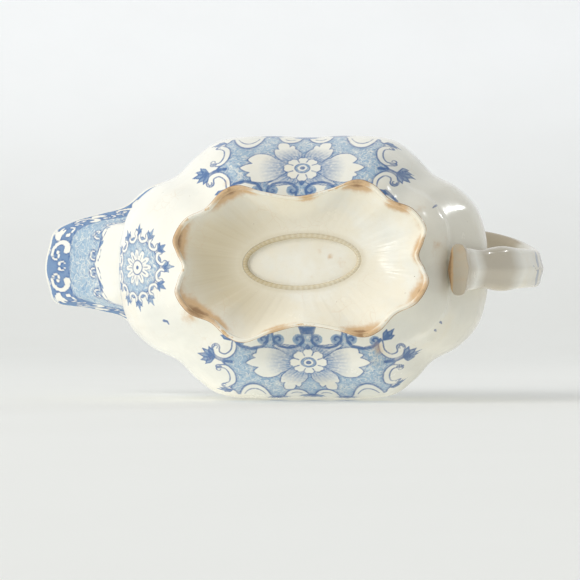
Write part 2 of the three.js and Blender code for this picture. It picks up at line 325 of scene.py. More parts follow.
class Print:
    """Blue print on a chart: its ground, its dark lines, the ground's wash, and the shade on white leaves."""

    def __init__(self, at):
        self.at = at
        self.ground = np.full(len(at), -3.0)
        self.line = np.full(len(at), -3.0)
        self.wash = np.zeros(len(at))
        self.shade = np.zeros(len(at))

    def fill(self, shape, wash=None):
        self.ground = np.maximum(self.ground, shape)
        if wash is not None:
            self.wash = np.where(shape > 0, wash, self.wash)

    def reserve(self, shape, edge=0.0):
        """Leaves the shape white, with a dark line round it if edge is more than 0."""
        self.ground = np.minimum(self.ground, -shape)
        self.line = np.minimum(self.line, -shape)
        if edge > 0:
            self.ink(edge / 2 - np.abs(shape))

    def ink(self, shape):
        self.line = np.maximum(self.line, shape)

    def scroll(self, line, width, edge=0.3, end_width=None, knob=0.0):
        """A white C-scroll with a dark edge, and a knob at its end."""
        shape = stroke(self.at, line, width, end_width)
        if knob:
            shape = np.maximum(shape, disc(self.at, line[-1], knob))
        self.reserve(shape, edge)

    def palmette(self, root, angle, size, leaves=5, spread=110, wash=0.5, ink=1.0):
        """A fan of pointed leaves."""
        for k in range(leaves):
            lean = angle + math.radians(spread) * (k / (leaves - 1) - 0.5)
            length = size * (1 - 0.25 * abs(2 * k / (leaves - 1) - 1))
            tip = (root[0] + length * math.cos(lean), root[1] + length * math.sin(lean))
            middle = (root[0] + 0.55 * length * math.cos(lean), root[1] + 0.55 * length * math.sin(lean))
            stem = stroke(self.at, [root, middle], 0.16 * size, 0.34 * size)
            leaf = np.maximum(stem, stroke(self.at, [middle, tip], 0.34 * size, 0.1))
            self.fill(leaf, wash)
            self.ink(np.minimum(leaf + 0.06, 0.36 * ink - np.abs(leaf)))


def both_sides(points):
    points = np.asarray(points, float)
    return [points, points * (-1, 1)]


# Half outlines of the side panel's leaves and ground, in millimetres from the middle of its flower.
SIDE_LEAF = [
    (4.3, -1.3), (6.6, -3.4), (9.2, -5.0), (14.6, -5.2), (15, -3.6), (16.4, -3), (15.4, -1.9), (18.4, 0),
    (14.8, 2), (16.2, 3.9), (13.7, 6.8), (10.7, 6.7), (8.2, 4.6), (4.6, 1.2),
]
LOW_LEAF = [
    (4.4, 2.2), (7.2, 4.6), (8.6, 7.6), (8.5, 10), (7.5, 9.8), (7.7, 14), (5.1, 14), (4.4, 11.5), (3.4, 12.8),
    (2.6, 10.2), (1.2, 8.4), (0.4, 5.4), (1.6, 3.9),
]
HIGH_LEAF = [
    (0.6, -4.0), (1.5, -5.7), (5, -6.2), (10.3, -6.3), (8.4, -4.9), (9.0, -3.9), (6.4, -3.2), (4.6, -1.2),
]
PANEL = [
    (0, -13.6), (2.4, -13.2), (1.6, -10), (1.1, -7.8), (2.6, -6.2), (5.5, -5.6), (8.4, -6.2), (9.9, -7.9),
    (10.3, -11), (11.2, -11), (11.5, -8.2), (13, -6.1), (16.4, -5.3), (19.4, -6.2), (21.3, -8.4), (21, -5),
    (22.8, -2.6), (25.4, -0.8), (23.6, 1.6), (22.4, 5), (22.2, 9), (23.8, 13), (22.4, 15.4), (21.9, 18),
    (21.2, 18), (12.2, 18.6), (10.1, 21.5), (8, 18.6), (0.9, 18.6),
]


def flower(p):
    """The big flower: eight notched petals round an eye, over wide leaves washed dark at their roots."""
    at = p.at
    reach = np.hypot(at[:, 0], at[:, 1] / 0.9)
    angle = np.arctan2(at[:, 1], at[:, 0])
    shade = np.clip((13 - reach) / 7, 0, 1) * (0.8 + 0.2 * np.cos(angle * 46))
    for leaf, bulge in ((HIGH_LEAF, 0.06), (SIDE_LEAF, 0.08), (LOW_LEAF, 0.1)):
        for half in both_sides(leaf):
            corners = half if half[0, 0] > 0 else half[::-1]
            shape = region(at, bulged(corners, bulge))
            p.reserve(shape)
            p.ink(0.17 - np.abs(shape))
            p.shade = np.where(shape > 0, shade, p.shade)
    wave = np.cos(4 * angle)
    notches = 0.3 * np.exp(-((wave ** 2 - 1) ** 2) * 60)
    rosette = 4.0 + 1.75 * np.abs(wave) ** 0.5 - notches - reach
    p.reserve(rosette, 0.44)
    p.shade = np.where(rosette > 0, 0, p.shade)
    gaps = 0.2 - np.abs(np.sin(4 * angle + math.pi / 2)) * reach / 4
    p.ink(np.minimum(gaps, np.minimum(reach - 2.9, 4.5 - reach)))
    p.fill(disc(at, (0, 0), 2.2, 0.9), 0.1)
    p.ink(0.16 - np.abs(2.2 - reach))
    p.reserve(disc(at, (0, 0), 1.5, 0.9), 0.2)
    p.ink(disc(at, (0, 0), 0.8, 0.9))


def panel(p):
    """The side panel: a mottled blue ground inside C-scrolls, with the flower in its middle."""
    at = p.at
    half = np.array(PANEL)
    p.fill(region(at, bulged(np.concatenate([half, [(0, 20.6)], (half * (-1, 1))[:0:-1]]), 0.03)))
    p.ink(0.3 - np.abs(p.ground))
    flower(p)
    for side in (1, -1):
        mirror = np.array([side, 1])
        for middle, width, height in ((4.5, 3.5, 4.8), (16.9, 4.6, 8.4)):
            arch = disc(at, (side * middle, 19), width, height / width)
            inner_arch = disc(at, (side * middle, 19.6), width - 1.2, height / width)
            p.reserve(arch)
            p.ink(np.minimum(0.25 - np.abs(arch), 18.2 - at[:, 1]))
            p.ink(np.minimum(0.17 - np.abs(inner_arch), 17.4 - at[:, 1]))
        low_scroll = smooth([(26.8, 1.6), (24.2, 1.9), (22.6, 5.2), (22.9, 9.6), (25.2, 11.6)])
        p.scroll(low_scroll * mirror, 1.3, 0.44, 2.2, 1.3)
        p.ink(stroke(at, curl((26.4, 2.9), 1.4, -120, 280) * mirror, 0.5, 0.4))
        p.ink(stroke(at, curl((25.4, 11.2), 0.9, 90, -250) * mirror, 0.45, 0.35))
        high_scroll = smooth([(21.2, -7.4), (21.8, -4.3), (24.2, -2.4), (26.6, -3.4), (27.0, -5.6)])
        p.scroll(high_scroll * mirror, 1.3, 0.44, 2.0, 1.2)
        p.ink(stroke(at, curl((26.9, -5.6), 0.8, 0, -250) * mirror, 0.45, 0.35))
        p.ink(stroke(at, smooth([(22.6, -0.4), (25.4, -0.9), (28.2, -2.4)]) * mirror, 1.1, 0.7))
        p.palmette((27.8 * side, -2.1), math.radians(-14 if side > 0 else 194), 5.4)
        p.palmette((23.8 * side, 14.4), math.radians(20 if side > 0 else 160), 5.0, 3, 60, 0.9)
        p.palmette((22.2 * side, -8.2), math.radians(-50 if side > 0 else -130), 4.6, 3, 50, 0.9)
        for arc in (
            [(1.4, -7.2), (2.8, -6.0), (5.5, -5.4), (8.2, -6.0), (9.6, -7.2)],
            [(11.7, -7.6), (13.1, -5.9), (16.4, -5.1), (19.4, -6.0), (21.1, -7.8)],
        ):
            p.ink(stroke(at, smooth(arc) * mirror, 0.75))
        for centre, size, start, sweep in (
            ((2.6, -8.2), 1.5, 120, 300), ((8.5, -8.2), 1.5, 60, -300), ((12.9, -8.2), 1.35, 120, 300),
            ((19.6, -7.8), 1.3, 60, -300),
        ):
            p.fill(disc(at, np.array(centre) * mirror, size + 0.3), 0.35)
            p.ink(stroke(at, curl(centre, size, start, sweep, 0.3) * mirror, 0.6, 0.5))
    for root, size in (((-10.1, 19.6), 5.5), ((0, 18.6), 6.5), ((10.1, 19.6), 5.5)):
        p.palmette(root, math.pi / 2, size, 5, 120, 0.7)
    p.ink(region(at, [(-2.7, -12.2), (2.7, -12.2), (2.0, -11.2), (1.4, -9.9), (-1.4, -9.9), (-2.0, -11.2)]))
    p.ink(region(at, bulged([(0, -6.6), (0.8, -5.4), (0, -4.9), (-0.8, -5.4)], 0.1)))


def medallion(p):
    """The round panel under the lip: a daisy on blue inside a ring of C-scrolls and small palmettes."""
    at = p.at
    reach = np.hypot(at[:, 0], at[:, 1])
    angle = np.arctan2(at[:, 1], at[:, 0])
    count = 12
    wave = np.abs(np.cos(angle * count / 2))
    edge = 9.2 - 0.9 * wave ** 2
    p.fill(edge - reach, 0)
    p.ink(0.22 - np.abs(edge - reach))
    p.reserve(2.2 + 3.3 * wave ** 0.6 - reach, 0.28)
    gaps = 0.16 - np.abs(np.sin(angle * count / 2)) * reach / 6
    p.ink(np.minimum(gaps, np.minimum(reach - 2.6, 4.2 - reach)))
    p.reserve(disc(at, (0, 0), 2.1), 0.4)
    p.ink(disc(at, (0, 0), 0.6))
    for k in range(count):
        lean = 2 * math.pi * (k + 0.5) / count
        place = (8.6 * math.cos(lean), 8.6 * math.sin(lean))
        c_line = turned(smooth([(1.6, -1.7), (0.1, -1.5), (-0.7, 0), (0.1, 1.5), (1.6, 1.7)]), lean, place)
        p.scroll(c_line, 1.0, 0.3, 1.0, 0.85)
        lean = 2 * math.pi * k / count
        root = (9.7 * math.cos(lean), 9.7 * math.sin(lean))
        p.palmette(root, lean, 3.4, 3, 80, 0.6 + 0.3 * math.cos(3 * k), 0.3)


def rim_border(p, length, depth_of_ground):
    """White scrolls on a dark band under the rim, then a mottled ground with a scrolled lower edge.

    The chart's p runs along the rim as far as length, and q down from the rim.
    """
    at = p.at
    count = max(2, round(length / 15.5))
    unit = length / count
    along = at[:, 0] / unit
    low_edge = depth_of_ground + 1.3 * np.abs(np.sin(math.pi * along)) - 0.6
    p.fill(np.minimum(at[:, 1] - 0.7, low_edge - at[:, 1]), 0)
    band_edge = 9.6 + 0.7 * np.cos(2 * math.pi * along)
    band = np.minimum(at[:, 1] - 0.7, band_edge - at[:, 1])
    p.wash = np.where(band > 0, 1, p.wash)
    p.ink(0.25 - np.abs(band_edge - at[:, 1]) + np.minimum(0, at[:, 1] - 1) * 9)
    p.ink(0.3 - np.abs(low_edge - at[:, 1]))
    near = Print(np.column_stack([(along - np.floor(along)) * unit, at[:, 1]]))
    near.ground, near.line, near.wash = p.ground, p.line, p.wash
    c_scroll = smooth([(3.2, 2.9), (5.4, 2.1), (7.7, 3.3), (8.4, 5.6), (7.2, 7.7), (5.4, 8.3)])
    near.scroll(c_scroll, 1.1, 0.4, 2.3, 1.4)
    near.scroll(smooth([(3.1, 3.0), (2.4, 4.3), (3.5, 5.3), (4.9, 4.6)]), 0.9, 0.4, 0.9, 0.8)
    near.scroll(smooth([(0.8, 8.3), (1.6, 7.2), (0.9, 6.0)]), 0.8, 0.4, 0.8, 0.8)
    near.scroll(smooth([(14.4, 5.6), (14.0, 7.4), (12.2, 8.0), (10.8, 7.0)]), 1.0, 0.4, 0.9, 0.9)
    leaf = [
        (8.6, 3.6), (10.4, 1.5), (13.2, 1.4), (12.6, 2.3), (14.6, 2.9), (12.9, 3.6), (13.9, 4.9), (11.2, 4.6),
    ]
    near.reserve(region(near.at, bulged(leaf, 0.08)), 0.4)
    near.at = near.at - np.column_stack([np.zeros(len(at)), depth_of_ground + np.zeros(len(at))])
    for middle in (3.6, 11.4):
        near.scroll(curl((middle, -1.6), 2.2, 160, 300), 1.0, 0.44, 0.8)
        near.ink(stroke(near.at, smooth([(middle - 2.4, 1.2), (middle, 2.2), (middle + 2.6, 1.4)]), 0.6, 0.4))
        leaf = [(middle + 2.2, 0.2), (middle + 4.4, 0.6), (middle + 5.2, 2.2), (middle + 3.4, 1.8)]
        near.fill(region(near.at, bulged(leaf, 0.1)), 0.9)
    p.ground, p.line, p.wash = near.ground, near.line, near.wash


# ---- The print laid on the body ----
FLOWER_ARC = 14.2  # from the foot's joint to the middle of the side flower, up the wall
DAISY_ARC = 24.4  # from the joint to the middle of the daisy, up the front
DAISY_Y = -0.4
LOW_PRINT_TOP = 48  # the panels and the daisy lie below this height
RIM_PRINT_DEPTH = 29  # the rim's border ends within this distance from the rim
INNER_PRINT_DEPTH = 9


class Sheet:
    """All the print on one piece, as values for each of its points."""

    def __init__(self, count):
        self.area = np.full(count, -1.0)
        self.line = np.full(count, -1.0)
        self.wash = np.zeros(count)
        self.shade = np.zeros(count)

    def lay(self, draw, p, q, where, *more):
        """Draws on the points picked by where, whose places on the chart are p and q."""
        picked = np.flatnonzero(where)
        made = Print(np.column_stack([p[picked], q[picked]]))
        draw(made, *more)
        self.wash[picked] = np.where(made.ground > -0.2, made.wash, self.wash[picked])
        self.shade[picked] = np.maximum(self.shade[picked], made.shade)
        self.area[picked] = np.maximum(self.area[picked], np.clip(made.ground, -1, 1))
        self.line[picked] = np.maximum(self.line[picked], np.clip(made.line, -1, 1))

    def marks(self):
        return {
            "print_area": self.area,
            "print_line": self.line,
            "print_wash": self.wash,
            "print_shade": self.shade,
        }


def side_chart(points, side, arc):
    """Places on the side panel's chart. arc is each point's distance up the side profile.

    Low on the wall the chart follows the points' distance from the jug's middle plane instead.
    """
    flower_x = 0.5 if side > 0 else -1.3
    rising = SIDE_PROFILE[:, 2] < 43
    low_arc = np.interp(np.abs(points[:, 1]), SIDE_PROFILE[rising, 1], SIDE_ARC[rising])
    share = ease(22, 34, points[:, 2])
    return flower_x - points[:, 0], (1 - share) * low_arc + share * arc - FLOWER_ARC


# Lines and widths of the strokes on the wall beside the foot, in millimetres from the foot's middle.
STRAY = [
    ([(41.5, -16.2), (40.4, -16.4), (39.9, -17.2)], 0.8), ([(-38.6, 17.4), (-37.6, 16.6)], 0.7),
    ([(-38.2, -19), (-38.4, -19.3)], 0.8), ([(-39.8, -16.7), (-40, -17)], 0.8),
    ([(-23.9, 21.2), (-25.6, 20), (-27.4, 18.3)], 1.3),
]


def stray(p):
    """Short strokes of blue that strayed from the print."""
    for line, width in STRAY:
        p.ink(stroke(p.at, line, width, width * 0.5))


def rim_chart(grid):
    """Each point's place along the rim, and its distance down from the rim."""
    rows, columns = grid.shape[:2]
    down = [lengths(grid[::-1, k])[::-1] for k in range(columns)]
    return np.tile(lengths(grid[-1]), rows), np.array(down).T.ravel()


def body_print(outer, inner, side, ups):
    """The print on a body half: outer and inner are its grids of points, rows from the foot to the rim."""
    points = outer.reshape(-1, 3)
    columns = outer.shape[1]
    sheet = Sheet(len(points))
    side_arc = np.repeat(np.interp(ups, FINE, SIDE_ARC), columns)
    front_arc = np.repeat(np.interp(ups, FINE, FRONT_ARC), columns)
    low = points[:, 2] < LOW_PRINT_TOP
    p, q = side_chart(points, side, side_arc)
    sheet.lay(panel, p, q, low & (np.abs(p) < 34) & (q > -14) & (q < 27))
    q = (DAISY_ARC - front_arc) * 0.8
    sheet.lay(medallion, points[:, 1] - DAISY_Y, q, low & (points[:, 0] > 25) & (np.abs(q) < 14.5))
    sheet.lay(stray, points[:, 0], points[:, 1], low)
    along, down = rim_chart(outer)
    near = down < RIM_PRINT_DEPTH
    depth = 13 + 10 * (1 - ease(0, 60, along))
    sheet.lay(rim_border, along, down, near, along[-1], depth[near])
    inside = Sheet(inner.shape[0] * columns)
    along, down = rim_chart(inner)
    inside.lay(inner_border, along, down, down < INNER_PRINT_DEPTH, along[-1])
    return sheet, inside


def inner_border(p, length):
    """The narrow border inside the rim: a run of leaves on a blue band between two lines."""
    at = p.at
    count = max(2, round(length / 7.5))
    unit = length / count
    along = at[:, 0] / unit
    near = np.column_stack([(along - np.floor(along) - 0.5) * unit, at[:, 1]])
    p.fill(np.minimum(at[:, 1] - 1.2, 5.2 + 0.6 * np.cos(2 * math.pi * along) - at[:, 1]), 0.8)
    p.ink(0.16 - np.abs(p.ground))
    shape = region(near, bulged([(-2.6, 2.3), (0.4, 1.9), (2.6, 3.2), (0.2, 4.6), (-1.2, 4.0)], 0.12))
    p.reserve(shape, 0.2)
    p.ink(stroke(near, [(-1.8, 2.8), (0.4, 3.1), (1.8, 3.2)], 0.3, 0.15))


# ---- Materials ----
def colour(red, green, blue):
    """A colour given as screen values from 0 to 255."""
    def linear(value):
        value /= 255
        return value / 12.92 if value <= 0.04045 else ((value + 0.055) / 1.055) ** 2.4
    return (linear(red), linear(green), linear(blue), 1)


class Nodes:
    """A material's node tree, with short calls for the nodes used here. Lengths are in millimetres."""

    def __init__(self, name):
        self.material = bpy.data.materials.new(name)
        self.material.use_nodes = True
        self.tree = self.material.node_tree
        self.shader = self.tree.nodes["Principled BSDF"]
        place = self.add("TexCoord", {}).outputs["Object"]
        self.place = self.add("VectorMath", {0: place, "Scale": 1 / MM}, operation="SCALE").outputs["Vector"]

    def put(self, socket, value):
        if isinstance(value, bpy.types.NodeSocket):
            self.tree.links.new(value, socket)
        else:
            socket.default_value = value

    def add(self, kind, inputs, **settings):
        """A new node. inputs holds a value or another node's output for each input socket."""
        node = self.tree.nodes.new("ShaderNode" + kind)
        for name, value in settings.items():
            setattr(node, name, value)
        for name, value in inputs.items():
            self.put(node.inputs[name], value)
        return node

    def mark(self, name):
        return self.add("Attribute", {}, attribute_type="GEOMETRY", attribute_name=name).outputs["Fac"]

    def math(self, operation, first, second):
        return self.add("Math", {0: first, 1: second}, operation=operation).outputs[0]

    def step(self, value, low, high, top=1.0):
        """0 below low, top above high, smooth between."""
        inputs = {"Value": value, "From Min": low, "From Max": high, "To Max": top}
        return self.add("MapRange", inputs, interpolation_type="SMOOTHSTEP").outputs["Result"]

    def noise(self, size, detail, rough, shift):
        """Values about 0.5. Each shift gives a pattern of its own."""
        inputs = {"Vector": self.place, "W": shift, "Scale": 1 / size, "Detail": detail, "Roughness": rough}
        return self.add("TexNoise", inputs, noise_dimensions="4D").outputs["Fac"]

    def swing(self, noise, reach):
        """Noise moved to lie about 0, and stretched."""
        return self.math("MULTIPLY", self.math("SUBTRACT", noise, 0.5), reach)

    def cracks(self, size, shift):
        """Distance to the nearest crack of a crazed glaze."""
        soft = self.add("TexNoise", {"Vector": self.place, "Scale": 0.5 / size, "Detail": 2})
        bend = self.add("VectorMath", {0: soft.outputs["Color"], "Scale": size * 0.8}, operation="SCALE")
        bent = self.add("VectorMath", {0: self.place, 1: bend.outputs["Vector"]}, operation="ADD")
        inputs = {"Vector": bent.outputs["Vector"], "W": shift, "Scale": 1 / size}
        cells = self.add("TexVoronoi", inputs, feature="DISTANCE_TO_EDGE", voronoi_dimensions="4D")
        return cells.outputs["Distance"]

    def mix(self, share, first, second, blend="MIX"):
        inputs = {0: share, 6: first, 7: second}
        return self.add("Mix", inputs, data_type="RGBA", blend_type=blend).outputs[2]

    def bump(self, height, distance, strength, below=None):
        inputs = {"Strength": strength, "Distance": distance * MM, "Height": height}
        if below is not None:
            inputs["Normal"] = below
        return self.add("Bump", inputs).outputs["Normal"]


CREAM = colour(242, 240, 229)
WARM_CREAM = colour(237, 230, 210)
GREY_CREAM = colour(230, 230, 221)
# Stain tints, also used for painted shade and painted shadow through the stain mark.
STAIN_AND_SHADE = colour(206, 168, 120)
DARK_STAIN_AND_SHADE = colour(128, 92, 58)
BARE_CLAY = colour(214, 190, 152)
# Tint of the painted shade on the bowl and the foot.
PAINTED_SHADE_TONE = colour(198, 182, 144)
# Tint of the painted shade on the handle.
HANDLE_SHADE_TONE = colour(188, 177, 156)
BLUE_GROUND = colour(152, 180, 202)
BLUE_WASH = colour(98, 133, 176)
BLUE_LINE = colour(72, 106, 156)


def print_ground(n, tone):
    """Blue stipple that the clay shows through, darker where it is washed."""
    mottle = n.step(n.noise(0.75, 2, 0.6, 9.0), 0.42, 0.62)
    clumps = n.noise(6, 3, 0.5, 11.0)
    thin = n.math("MULTIPLY", mottle, n.step(clumps, 0.3, 0.75, 0.7))
    ground = n.mix(thin, BLUE_GROUND, tone)
    dots = n.step(n.noise(1.1, 2, 0.6, 12.0), 0.52, 0.66, 0.55)
    ground = n.mix(dots, ground, BLUE_WASH)
    worms = n.math("ABSOLUTE", n.math("SUBTRACT", n.noise(1.5, 1, 0.4, 14.0), 0.5), 0)
    ground = n.mix(n.math("SUBTRACT", 0.55, n.step(worms, 0.012, 0.05, 0.55)), ground, tone)
    return n.mix(n.math("MULTIPLY", n.mark("print_wash"), 0.92), ground, BLUE_WASH)


def blue_print(n, tone):
    """The print over the clay's colour: its ground, shaded leaves, the lines' soft edges, then the lines."""
    rag = n.swing(n.noise(0.55, 2, 0.5, 7.0), 0.34)
    area = n.step(n.math("ADD", n.mark("print_area"), rag), -0.14, 0.14)
    line = n.step(n.math("ADD", n.mark("print_line"), n.math("MULTIPLY", rag, 0.5)), -0.15, 0.13)
    ground = print_ground(n, tone)
    shade = n.math("MULTIPLY", n.mark("print_shade"), n.step(n.noise(0.8, 2, 0.5, 13.0), 0.1, 0.6))
    tone = n.mix(shade, tone, BLUE_WASH)
    tone = n.mix(n.math("MULTIPLY", area, 0.94), tone, ground)
    soft = n.step(n.mark("print_line"), -1.0, 0.1, 0.34)
    tone = n.mix(n.math("MULTIPLY", soft, n.step(n.mark("print_area"), -0.3, 0.5)), tone, BLUE_LINE)
    depth = n.math("SUBTRACT", 0.92, n.step(n.noise(2.2, 2, 0.5, 15.0), 0.4, 0.7, 0.34))
    return n.mix(n.math("MULTIPLY", line, depth), tone, BLUE_LINE)


def glazed(name, painted_shade, printed, warm):
    """Aged lead glaze on cream clay: clouded, crazed and stained, with the blue print under it and painted
    shade where a piece's marks ask for it.
    """
    n = Nodes(name)
    clouds = n.noise(26, 4, 0.55, 1.0)
    tone = n.mix(n.step(clouds, 0.36, 0.66), CREAM, GREY_CREAM)
    warmth = n.math("ADD", n.noise(17, 4, 0.6, 4.0), (warm - 0.5) * 0.5)
    tone = n.mix(n.step(warmth, 0.42, 0.68, 0.85), tone, WARM_CREAM)
    fine = n.noise(0.9, 3, 0.6, 2.0)
    tone = n.mix(n.step(fine, 0.52, 0.8, 0.16), tone, WARM_CREAM, "MULTIPLY")
    if printed:
        tone = blue_print(n, tone)
    # Painted shade: the colour is darkened toward a shade tint where the piece's mark asks for it.
    tone = n.mix(n.mark("painted_shade"), tone, painted_shade)
    craze = n.math("SUBTRACT", 1.0, n.step(n.cracks(3.2, 3.0), 0.0, 0.03))
    craze = n.math("MULTIPLY", craze, n.step(n.noise(13, 2, 0.5, 17.0), 0.5, 0.72, 0.2))
    tone = n.mix(craze, tone, STAIN_AND_SHADE)
    # The stain mark holds real stains, and also painted shade at the foot's joint and painted shadow on the
    # handle; all of it darkens toward the stain tints.
    soak_and_shade = n.math("ADD", n.mark("stain_and_shade"), n.swing(n.noise(2.6, 4, 0.65, 19.0), 0.9))
    tone = n.mix(n.step(soak_and_shade, 0.34, 0.95, 0.85), tone, STAIN_AND_SHADE)
    tone = n.mix(n.step(soak_and_shade, 1.05, 1.5, 0.7), tone, DARK_STAIN_AND_SHADE)
    specks = n.step(n.noise(0.8, 1, 0.5, 23.0), 0.79, 0.83, 0.6)
    tone = n.mix(specks, tone, DARK_STAIN_AND_SHADE)
    chipped = n.math("ADD", n.mark("worn"), n.swing(n.noise(1.3, 3, 0.6, 29.0), 0.8))
    bare = n.step(chipped, 0.45, 0.62)
    tone = n.mix(bare, tone, n.mix(n.noise(2.2, 3, 0.6, 31.0), BARE_CLAY, STAIN_AND_SHADE))
    n.put(n.shader.inputs["Base Color"], tone)
    smudges = n.step(n.noise(9, 4, 0.6, 37.0), 0.35, 0.75, 0.16)
    rough = n.math("ADD", n.math("ADD", smudges, 0.13), n.math("MULTIPLY", bare, 0.5))
    n.put(n.shader.inputs["Roughness"], rough)
    n.shader.inputs["IOR"].default_value = 1.5
    slow = n.bump(n.noise(11, 2, 0.4, 41.0), 0.35, 0.8)
    peel = n.bump(n.noise(1.6, 2, 0.5, 43.0), 0.03, 0.7, slow)
    pits = n.bump(n.math("SUBTRACT", 1.0, specks), 0.05, 0.6, peel)
    n.put(n.shader.inputs["Normal"], pits)
    return n.material


PRINTED_GLAZE = glazed("printed_glaze", PAINTED_SHADE_TONE, True, 0.3)
FOOT_GLAZE = glazed("foot_glaze", PAINTED_SHADE_TONE, False, 0.7)
HANDLE_GLAZE = glazed("handle_glaze", HANDLE_SHADE_TONE, True, 0.5)


# ---- Stains and wear ----
def patches(points, places):
    """How deep a stain is at each point. Each place holds x, y, its size and its depth."""
    depth = np.zeros(len(points))
    for x, y, size, strength in places:
        away = np.hypot(points[:, 0] - x, points[:, 1] - y)
        depth = np.maximum(depth, strength * np.clip(1 - away / size, 0, 1))
    return depth


FOOT_STAINS = [
    (29.5, -13.5, 11, 1.15), (20.2, 20.6, 9, 1.0), (35, 6.8, 7, 1.0), (-16.2, 22.8, 6, 1.05),
    (-28.4, 17, 5, 0.95), (-17.5, -20.6, 8, 1.15), (-34.2, -7.8, 6, 0.95), (6, -19.5, 5, 0.8),
    (-35, 4, 5, 0.8), (-2, 19, 4, 0.7),
]
OVAL_STAINS = [
    (-8, 2.2, 2, 1), (-11, 0.6, 3.4, 0.7), (-3.5, 1.4, 2.4, 0.6), (-2.6, -3.6, 1.2, 1), (-5, 3.4, 3, 0.6),
]
WALL_STAINS = [
    (33, -15, 6, 0.8), (-22, -24, 5, 0.7), (-39, 6, 9, 0.55), (-46, -2, 9, 0.75), (22, 24, 4, 0.6),
    (-34, 16, 5, 0.6),
]

# ---- The two halves of the body ----
BODY_AROUND = 430  # faces round each half
BODY_UP = 262
BELLY_UP = 6 / 11  # above this share of the levels, the rows stand wider apart
GIRTH_UP = 5 / 11  # the level where the faces are evenly wide
INNER_ROWS = 16
INNER_RIM_ROWS = 24  # rows of the inner face that hold its border


def spaced(arc, count, values, weight=None):
    """Values at places that are evenly spaced along arc, or denser where weight is larger."""
    steps = np.diff(arc) if weight is None else np.diff(arc) * weight[1:]
    run = np.concatenate([[0], np.cumsum(steps)])
    return np.interp(np.linspace(0, run[-1], count + 1), run, values)


def rolled_rim(outer_edge, gap_shadow):
    """Rows of points over the rim, from the outer face to the inner one."""
    middle = (outer_edge + gap_shadow) / 2
    rows = []
    for angle in np.linspace(0, math.pi, 9)[1:-1]:
        row = middle + math.cos(angle) * (outer_edge - middle)
        row[:, 2] += math.sin(angle) * 0.45 * WALL
        rows.append(row)
    return np.array(rows)


def body_marks(outer, rim, inner, side, ups):
    """Print, stains, wear and painted shade for every point of a half, in the order of its rows."""
    sheet, inside = body_print(outer, inner, side, ups)
    bare = Sheet(rim.shape[0] * rim.shape[1]).marks()
    turned_over = {k: v.reshape(inner.shape[:2])[::-1].ravel() for k, v in inside.marks().items()}
    marks = {k: np.concatenate([v, bare[k], turned_over[k]]) for k, v in sheet.marks().items()}
    rows = np.concatenate([outer, rim, inner[::-1]])
    points = rows.reshape(-1, 3)
    low = ease(40, 20, points[:, 2])
    # Painted shade: a darker ring just above the joint with the foot, standing in for shade in the crease.
    joint_shade = 0.42 * ease(2.6, 0, points[:, 2] - JOINT_HEIGHT)
    marks["stain_and_shade"] = np.maximum(patches(points, WALL_STAINS) * low, joint_shade)
    # Painted shade: the bowl is painted darker toward the handle's side, which is turned from the light.
    marks["painted_shade"] = 0.17 * ease(-24, -40, points[:, 0])
    worn = np.zeros(rows.shape[:2])
    top = len(outer) + len(rim) // 2
    worn[top - 2:top + 3] = 0.36 + 0.25 * waves(np.linspace(0, 1, rows.shape[1]), 5)
    marks["worn"] = worn.ravel()
    return marks


def body_half(side, node, name):
    """A moulded half of the bowl: side is 1 for the half at +Y, -1 for the half at -Y."""
    profile = 0.55 * SIDE_ARC + 0.45 * FRONT_ARC * SIDE_ARC[-1] / FRONT_ARC[-1]
    ups = spaced(profile, BODY_UP, FINE, np.where(FINE < BELLY_UP, 1.2, 0.85))
    half_turn = np.linspace(0, 0.5, 801)
    girth = lengths(outer_grid(half_turn, np.array([GIRTH_UP]))[0])
    turns = side * spaced(girth, BODY_AROUND, half_turn)
    outer = outer_grid(turns, ups)
    border_ups = ups[-INNER_RIM_ROWS:]
    inner_ups = np.concatenate([np.linspace(0, border_ups[0], INNER_ROWS)[:-1], border_ups])
    inner = outer_grid(turns, inner_ups) - WALL * outer_normals(turns, inner_ups)
    rim = rolled_rim(outer[-1], inner[-1])
    rows = np.concatenate([outer, rim, inner[::-1]])
    points = rows.reshape(-1, 3)
    faces = grid_faces(np.arange(len(points)).reshape(rows.shape[:2]))
    if side < 0:
        faces = faces[:, ::-1]
    half = mesh_object(name, points, faces, PRINTED_GLAZE, body_marks(outer, rim, inner, side, ups))
    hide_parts(node)
    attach(half, "root")


body_half(1, "body_left", "bowl_left")
body_half(-1, "body_right", "bowl_right")


# ---- The foot ----
FOOT_AROUND = 640
FOOT_SHAPE = np.array(FOOT_FORM)
OVAL_SHAPE = np.array(OVAL_FORM)
RIM_RISE = 0.8  # the rim's rounding
BEADS = 64
FLUTES = 58


def placed_on_foot(points):
    """Turns and moves points from the foot's own outline to where it sits, a little askew."""
    c, s = math.cos(FOOT_TWIST), math.sin(FOOT_TWIST)
    points = points.copy()
    points[:, :2] = points[:, :2] @ np.array([[c, s], [-s, c]]) + (0, FOOT_SHIFT)
    return points


class FootRings:
    """Rings of points from the foot's joint down over its rim and up into its hollow, with their marks."""

    def __init__(self):
        self.turns = np.arange(FOOT_AROUND) / FOOT_AROUND
        self.points = []
        self.marks = {"stain_and_shade": [], "worn": [], "painted_shade": []}

    def add(self, form, length, width, z, stain_and_shade=0.0, worn=0.0, painted_shade=0.0):
        flat = outline(form, form, 1, 1, 1, self.turns)
        z = np.broadcast_to(z, FOOT_AROUND)
        self.points.append(np.column_stack([flat[:, 0] * length, flat[:, 1] * width, z]))
        for name, value in (("stain_and_shade", stain_and_shade), ("worn", worn), ("painted_shade", painted_shade)):
            self.marks[name].append(np.broadcast_to(value, FOOT_AROUND))


